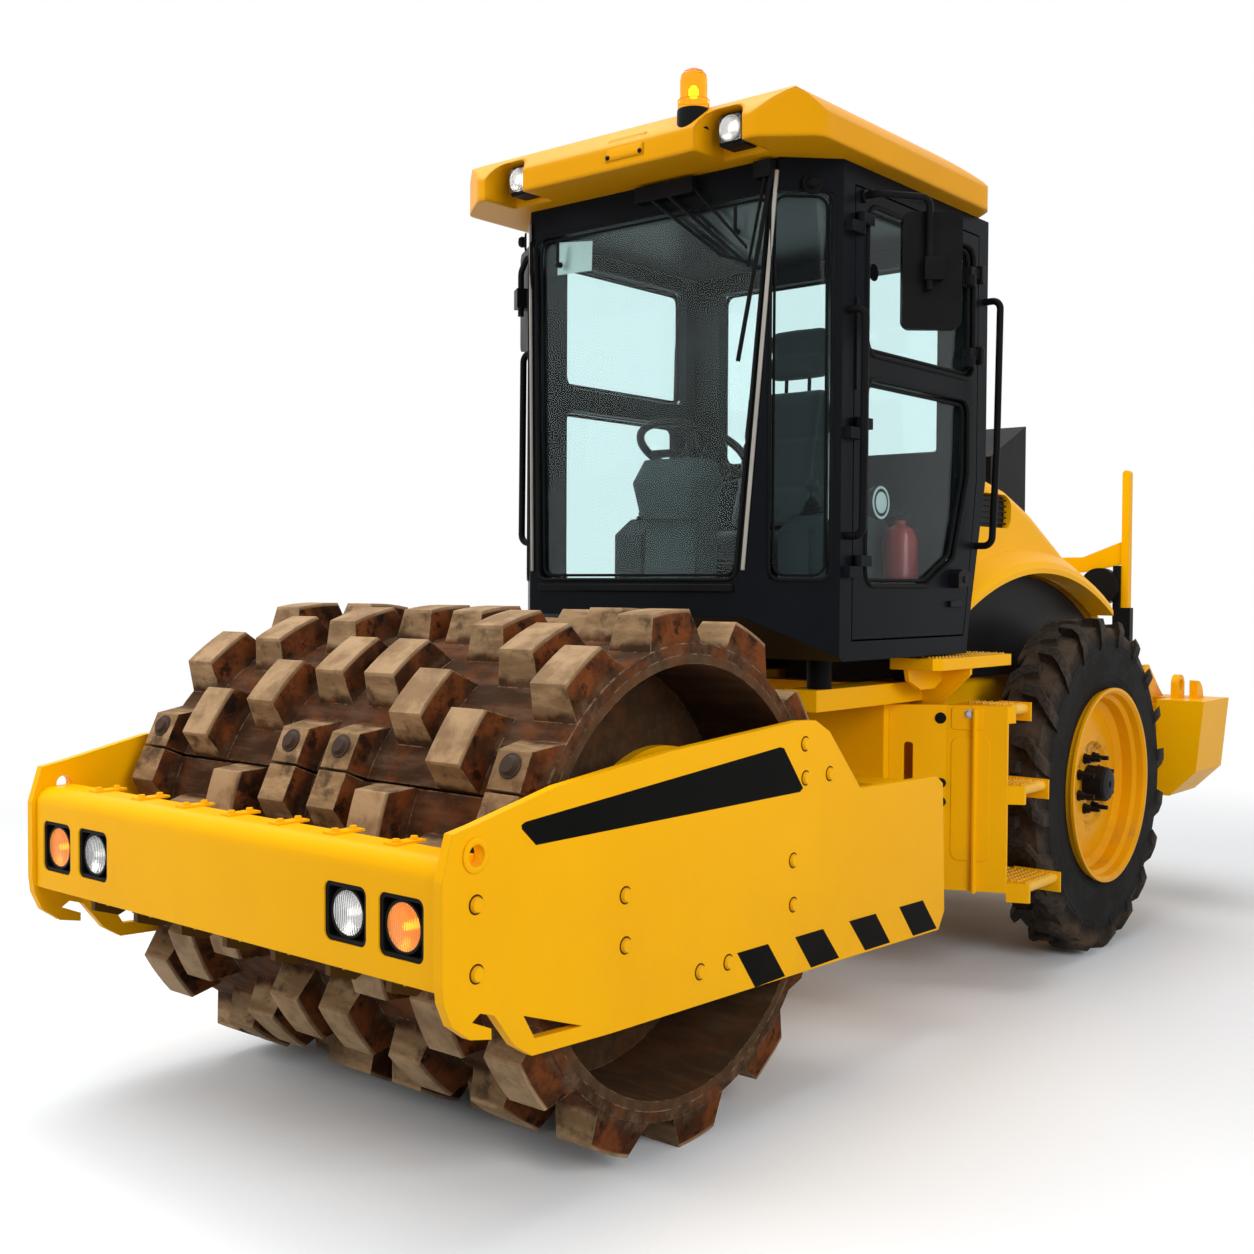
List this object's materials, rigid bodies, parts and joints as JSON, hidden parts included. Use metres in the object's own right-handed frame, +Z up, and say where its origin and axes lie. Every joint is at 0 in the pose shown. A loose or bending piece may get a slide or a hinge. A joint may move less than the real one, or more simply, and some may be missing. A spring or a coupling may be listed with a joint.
{
  "type": "padfoot roller",
  "caption": "Articulated single-drum soil compactor with a padded steel drum in front, a glazed cab and a sloping hood over two driven wheels.",
  "frame": {"origin": "on the ground below the middle of the whole machine", "axes": "+Z up, -Y towards the drum, which is the way it drives, +X to the machine's left"},
  "size_m": [1.7378, 4.8, 2.962],
  "materials": {
    "yellow_paint": "gloss machine enamel",
    "wheel_paint": "gloss enamel",
    "roof_paint": "gloss enamel, warmer yellow",
    "cab_paint": "satin charcoal",
    "black_paint": "satin black",
    "black_plastic": "moulded, fine grain",
    "rusted_steel": "brown rust, tan worn tips",
    "tyre_rubber": "dusty rubber",
    "mount_rubber": "black rubber",
    "tinted_glass": "green tint",
    "clear_lens": "ribbed clear lens",
    "amber_lens": "amber lens",
    "red_lens": "red lens",
    "mirror_silver": "silvered glass",
    "seat_fabric": "dark woven cloth",
    "chromed_rod": "hard chrome",
    "pin_steel": "machined steel",
    "engine_iron": "painted casting"
  },
  "bodies": {
    "rear": {"rear_frame": "yellow_paint", "rear_axle": "black_paint", "engine_block": "engine_iron", "bay_panels": "black_paint", "counterweight": "yellow_paint", "rear_guard": "yellow_paint", "rear_lamps": "black_plastic", "rear_lenses": "red_lens", "step_modules": "yellow_paint", "platforms": "yellow_paint", "cab_shell": "cab_paint", "cab_roof": "roof_paint", "cab_glass": "tinted_glass", "cab_mounts": "mount_rubber", "seat": "seat_fabric", "seat_base": "black_paint", "dash_console": "black_plastic", "arm_consoles": "black_plastic", "steering_wheel": "black_plastic", "mirror_right": "black_plastic", "mirror_pane_right": "mirror_silver", "hand_rails": "black_paint", "wipers": "black_plastic", "roof_lamps": "black_plastic", "beacon": "amber_lens"},
    "hood": {"hood": "yellow_paint", "hood_grilles": "black_plastic", "snorkel": "black_plastic"},
    "door": {"door_frame": "cab_paint", "door_glass": "tinted_glass", "door_latch": "black_plastic", "mirror_left": "black_plastic", "mirror_pane_left": "mirror_silver"},
    "front": {"side_plate_left": "yellow_paint", "side_plate_right": "yellow_paint", "front_beam": "yellow_paint", "rear_crossmember": "yellow_paint", "centre_pin": "pin_steel", "lamp_housings": "black_plastic", "head_lenses": "clear_lens", "turn_lenses": "amber_lens", "scrapers": "yellow_paint", "hose_guard": "yellow_paint", "drum_supports": "yellow_paint", "support_posts": "yellow_paint", "buffers": "mount_rubber"},
    "drum": {"drum_shell": "rusted_steel", "pad_shell_front": "rusted_steel", "pad_shell_rear": "rusted_steel"},
    "wheel_left": {"tyre_left": "tyre_rubber", "rim_left": "wheel_paint"},
    "wheel_right": {"tyre_right": "tyre_rubber", "rim_right": "wheel_paint"},
    "barrel_left": {"barrel_left": "black_paint"},
    "rod_left": {"rod_left": "chromed_rod"},
    "barrel_right": {"barrel_right": "black_paint"},
    "rod_right": {"rod_right": "chromed_rod"}
  },
  "joints": [
    {"name": "steering", "type": "hinge", "parent": "rear", "child": "front", "pos_m": [0, -0.12, 0.6], "axis": [0, 0, 1], "range_deg": [-34, 34]},
    {"name": "drum_spin", "type": "hinge", "parent": "front", "child": "drum", "pos_m": [0, -1.5, 0.68], "axis": [1, 0, 0], "continuous": true},
    {"name": "wheel_left_spin", "type": "hinge", "parent": "rear", "child": "wheel_left", "pos_m": [0, 1.16, 0.65], "axis": [1, 0, 0], "continuous": true},
    {"name": "wheel_right_spin", "type": "hinge", "parent": "rear", "child": "wheel_right", "pos_m": [0, 1.16, 0.65], "axis": [1, 0, 0], "continuous": true},
    {"name": "door_hinge", "type": "hinge", "parent": "rear", "child": "door", "pos_m": [0.665, -0.533, 1.9], "axis": [0, 0, -1], "range_deg": [0, 90]},
    {"name": "hood_hinge", "type": "hinge", "parent": "rear", "child": "hood", "pos_m": [0, 0.44, 1.785], "axis": [1, 0, 0], "range_deg": [0, 50]},
    {"name": "barrel_left_swing", "type": "hinge", "parent": "rear", "child": "barrel_left", "pos_m": [0.18, 0.4, 0.6], "axis": [0, 0, 1], "range_deg": [-5, 5]},
    {"name": "rod_left_slide", "type": "slide", "parent": "barrel_left", "child": "rod_left", "axis": [0, -1, 0], "range_m": [-0.105, 0.105]},
    {"name": "barrel_right_swing", "type": "hinge", "parent": "rear", "child": "barrel_right", "pos_m": [-0.18, 0.4, 0.6], "axis": [0, 0, 1], "range_deg": [-5, 5]},
    {"name": "rod_right_slide", "type": "slide", "parent": "barrel_right", "child": "rod_right", "axis": [0, -1, 0], "range_m": [-0.105, 0.105]}
  ],
  "couplings": [
    {"joint": "barrel_left_swing", "follows": "steering", "ratio": 0.1372},
    {"joint": "rod_left_slide", "follows": "steering", "m_per_rad": -0.1758},
    {"joint": "barrel_right_swing", "follows": "steering", "ratio": 0.1372},
    {"joint": "rod_right_slide", "follows": "steering", "m_per_rad": 0.1758}
  ]
}
